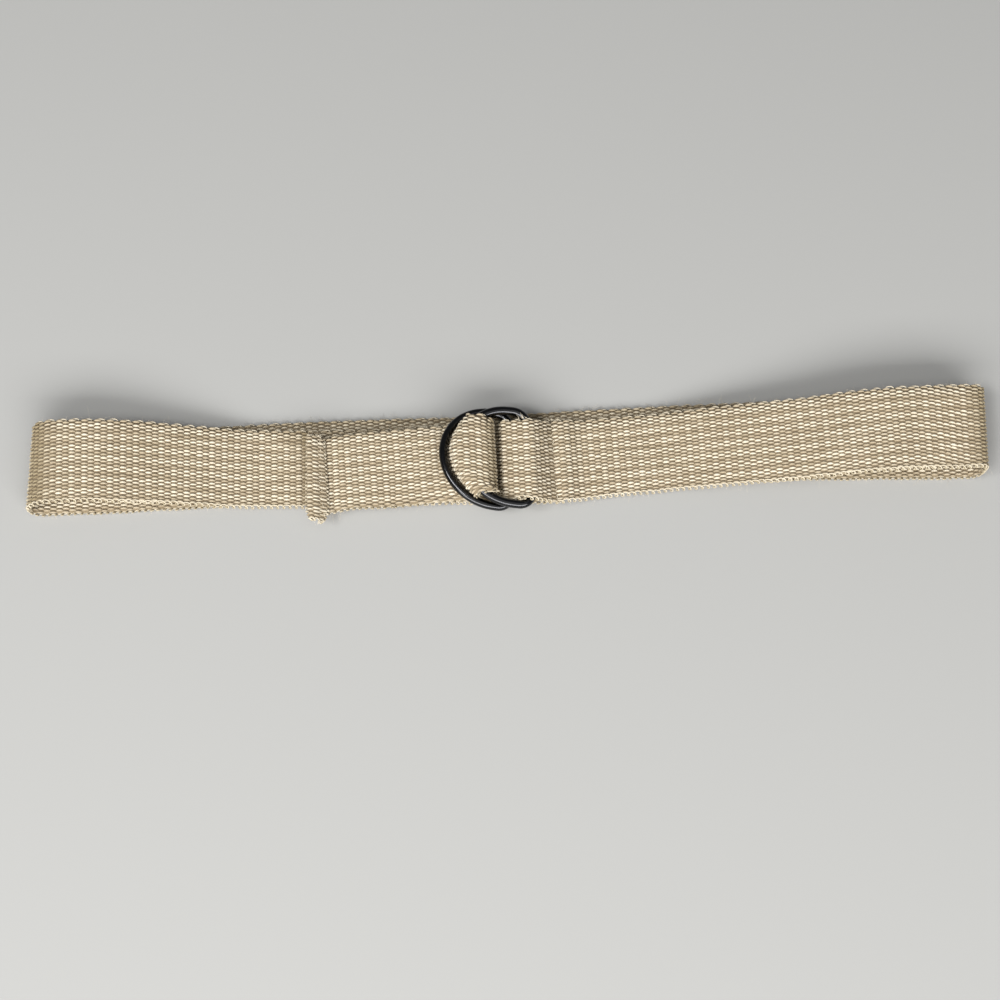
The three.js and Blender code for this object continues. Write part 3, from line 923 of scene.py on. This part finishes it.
# %% Loose ends
END_STEPS = 6
END_OUT, END_SPREAD = 0.8, 0.7
END_CURL, END_WEIGHT = 0.5, 0.5
END_SCATTER, END_ROOT = 0.8, 0.9
END_SHORT, END_LONG = 0.5, 1.1
END_THICK, END_TAPER = 1.1, 0.6
END_TONE = 0.95


def loose_ends(name, length, across, count, size, radius):
    """Curved threads that leave one place of the webbing outwards and bend over at random. A point lies at
    its share of the reach in the thread's direction, plus the square of the share in its droop."""
    at, onward, sideways, outward = (value[0] for value in place_on([length], [across]))
    share = np.linspace(0, 1, END_STEPS)[:, None]
    spread = rng.normal(0, END_SPREAD, (count, 1, 3))
    direction = unit(np.sign(across) * sideways + END_OUT * outward + spread)
    droop = rng.normal(0, END_CURL, (count, 1, 3)) - [0, 0, END_WEIGHT]
    root = at + rng.normal(0, END_SCATTER, (count, 1, 1)) * onward + END_ROOT * outward
    reach = size * rng.uniform(END_SHORT, END_LONG, (count, 1, 1))
    paths = root + reach * (share * direction + share**2 * droop)
    threads(name, paths, radius * (END_THICK - END_TAPER * share[:, 0]), END_SIDES, END_TONE)


loose_ends("ring_tuft", mid_bend["lower_bar"] - 2.5, 1.0, 7, 1.9, 0.13)
loose_ends("seam_end_near", SEAM_LENGTH, -1.0, 8, 1.6, 0.12)
loose_ends("seam_end_far", SEAM_LENGTH, 1.0, 4, 1.6, 0.11)
loose_ends("hem_end_near", HEM_LENGTH, -1.0, 12, 1.9, 0.17)
loose_ends("hem_end_far", HEM_LENGTH, 1.0, 4, 1.6, 0.11)

# %% Fluff
FLUFF = 1500
FLUFF_STEPS = 4
FLUFF_RADIUS = 0.028
FLUFF_ON_EDGE, FLUFF_EDGE = 0.55, 0.985
FLUFF_UP_ON_EDGE, FLUFF_ROOT = 0.3, 0.8
FLUFF_SPREAD, FLUFF_CURL = 0.5, 0.8
FLUFF_SHORT, FLUFF_LONG = 0.7, 2.1
FLUFF_DULL, FLUFF_PALE = 0.6, 1
FLUFF_LOWEST = 0.05
FLUFF_FROM_RINGS = 24

reached = rng.uniform(END_MARGIN, TOTAL - END_MARGIN, FLUFF)
on_edge = rng.random(FLUFF) < FLUFF_ON_EDGE
edge_place = rng.choice([-1, 1], FLUFF) * FLUFF_EDGE
across = np.where(on_edge, edge_place, rng.uniform(-SELVEDGE, SELVEDGE, FLUFF))
points, _, sideways, outward = place_on(reached, across)
face = rng.choice([-1, 1], (FLUFF, 1))
upwards = np.where(on_edge, FLUFF_UP_ON_EDGE, 1)[:, None]
aside = np.where(on_edge, np.sign(across), 0)[:, None]
away = unit(face * outward * upwards + aside * sideways + rng.normal(0, FLUFF_SPREAD, (FLUFF, 3)))
curl = rng.normal(0, FLUFF_CURL, (FLUFF, 1, 3))
share = np.linspace(0, 1, FLUFF_STEPS)[:, None]
root = points + face * outward * FLUFF_ROOT
size = rng.uniform(FLUFF_SHORT, FLUFF_LONG, (FLUFF, 1, 1))
hairs = root[:, None] + size * (share * away[:, None] + share**2 * curl)
hairs[..., 2] = np.maximum(hairs[..., 2], FLUFF_LOWEST)
hairs = hairs[np.abs(root[:, 0] - lower_line[:, 0].mean()) > FLUFF_FROM_RINGS]
threads("fluff", hairs, FLUFF_RADIUS, FLUFF_SIDES, rng.uniform(FLUFF_DULL, FLUFF_PALE, len(hairs)))

# %% [markdown]
# ## The rings
#
# The rings are round wire with a polished black nickel plate. A dark metal shows little of its own
# colour: it is drawn by what it mirrors, so the finish is mostly a low roughness, with faint marks of
# handling. The bent wire could be a curve with a bevel, but the line of the solid is at hand, so a
# section is carried along it.

# %% Ring material
MARKS_PER_METRE = 260.0
NICKEL_SMOOTHEST, NICKEL_MARKS = 0.1, 0.14
NICKEL_DARK, NICKEL_PALE = (0.04, 0.04, 0.042, 1), (0.061, 0.061, 0.063, 1)
nickel, nickel_shader, nickel_start = material(
    "black_nickel", (0.06, 0.06, 0.063), roughness=0.18, metallic=1.0)
nickel_place = nickel_start.node("TexCoord", out=3)
marks = nickel_start.node("TexNoise", Vector=nickel_place, Scale=MARKS_PER_METRE, Detail=4.0)
feed(nickel_shader, "Roughness", NICKEL_SMOOTHEST + marks * NICKEL_MARKS)
feed(nickel_shader, "Base Color", marks.mix(NICKEL_DARK, NICKEL_PALE))
print("the nickel has", len(nickel.node_tree.nodes), "shader nodes")

# %% Rings
WIRE_SIDES = 24


def wire_ring(line):
    """A round section carried along a closed line: a circle in the plane square to the line."""
    tangent = unit(np.roll(line, -1, axis=0) - np.roll(line, 1, axis=0))
    flank = unit(np.cross([0, 0, 1.0], tangent))
    upright = np.cross(tangent, flank)
    angle = np.arange(WIRE_SIDES) / WIRE_SIDES * 2 * np.pi
    ring = np.cos(angle)[:, None] * flank[:, None] + np.sin(angle)[:, None] * upright[:, None]
    return line[:, None] + WIRE / 2 * ring


for name, line in (("d_ring_upper", upper_line), ("d_ring_lower", lower_line)):
    piece(name + "_wire", wire_ring(line), tube_faces(1, len(line), WIRE_SIDES, ring=True), nickel,
          stands_for=[name])

# %% [markdown]
# ## The belt laid out flat
#
# Laid out flat, the belt is a strip as wide as the webbing and as long as its middle line. It isn't
# loose cloth that could be simulated: it is folded, sewn and threaded.
# The yarns, edges, stitches and fluff all go with the band inside them.

# %% [markdown]
# ## Floor, light and camera
#
# The belt lies on a plain pale surface. One wide soft light stands low on the near side, a little to the
# left, so that the shadows fall away from the viewer. A broad light overhead and a dim pale room fill
# them, and a window high at the left draws the bright streaks on the rings. The camera looks down
# steeply, as in the photograph.

# %% Floor
FLOOR_HALF = 3.0
floor_finish, _, _ = material("pale_floor", (0.4, 0.398, 0.384), roughness=0.75)
floor_mesh = bpy.data.meshes.new("floor")
floor_corners = [(x * FLOOR_HALF, y * FLOOR_HALF, 0) for x, y in ((-1, -1), (1, -1), (1, 1), (-1, 1))]
floor_mesh.from_pydata(floor_corners, [], [(0, 1, 2, 3)])
floor_mesh.materials.append(floor_finish)
floor = bpy.data.objects.new("floor", floor_mesh)
bpy.context.scene.collection.objects.link(floor)
print("the floor is", 2 * FLOOR_HALF, "m wide")

# %% Lights
ROOM_COLOUR = (0.95, 0.97, 1, 1)
ROOM_STRENGTH = 0.14


def soft_light(name, place, size, power, along=(1, 0, 0)):
    """An area light that faces the belt: as long and wide as its size, with its length along a line."""
    lamp = bpy.data.lights.new(name, "AREA")
    lamp.shape = "RECTANGLE"
    lamp.size, lamp.size_y = size
    lamp.energy = power
    made = bpy.data.objects.new(name, lamp)
    back = Vector(place).normalized()
    side = (Vector(along) - back * back.dot(Vector(along))).normalized()
    made.matrix_world = Matrix((side, back.cross(side), back)).transposed().to_4x4()
    made.location = place
    bpy.context.scene.collection.objects.link(made)
    print(name, "has", power, "W and stands", round(Vector(place).length, 2), "m from the belt")


soft_light("near_window", (-0.08, -1.65, 1.15), (3.6, 0.85), 75)
soft_light("ceiling", (0.06, -0.3, 0.9), (1, 1), 1.7)
soft_light("left_window", (-1.36, -0.66, 2.12), (1.28, 0.62), 39, along=(0.3, -0.44, 0.12))
world = bpy.data.worlds.new("pale_room")
world.use_nodes = True
background = world.node_tree.nodes["Background"]
background.inputs["Color"].default_value = ROOM_COLOUR
background.inputs["Strength"].default_value = ROOM_STRENGTH
bpy.context.scene.world = world
bpy.context.scene.view_settings.view_transform = "Standard"

# %% Camera
CAMERA_DOWN = 72
CAMERA_TURN = -2.23
CAMERA_DISTANCE = 666.3
CAMERA_AIM = Vector((-3.57, -22.76, 0))
FOCAL_LENGTH = 54
SENSOR_WIDTH = 36
camera_data = bpy.data.cameras.new("camera")
camera_data.lens = FOCAL_LENGTH
camera_data.sensor_width = SENSOR_WIDTH
camera = bpy.data.objects.new("camera", camera_data)
camera.rotation_euler = Euler((np.radians(90 - CAMERA_DOWN), 0, np.radians(CAMERA_TURN)))
backwards = camera.rotation_euler.to_matrix() @ Vector((0, 0, 1))
camera.location = (CAMERA_AIM + Vector(SHIFT) + backwards * CAMERA_DISTANCE) * MM
bpy.context.scene.collection.objects.link(camera)
bpy.context.scene.camera = camera
print("the camera is", round(camera.location.z, 3), "m above the floor")
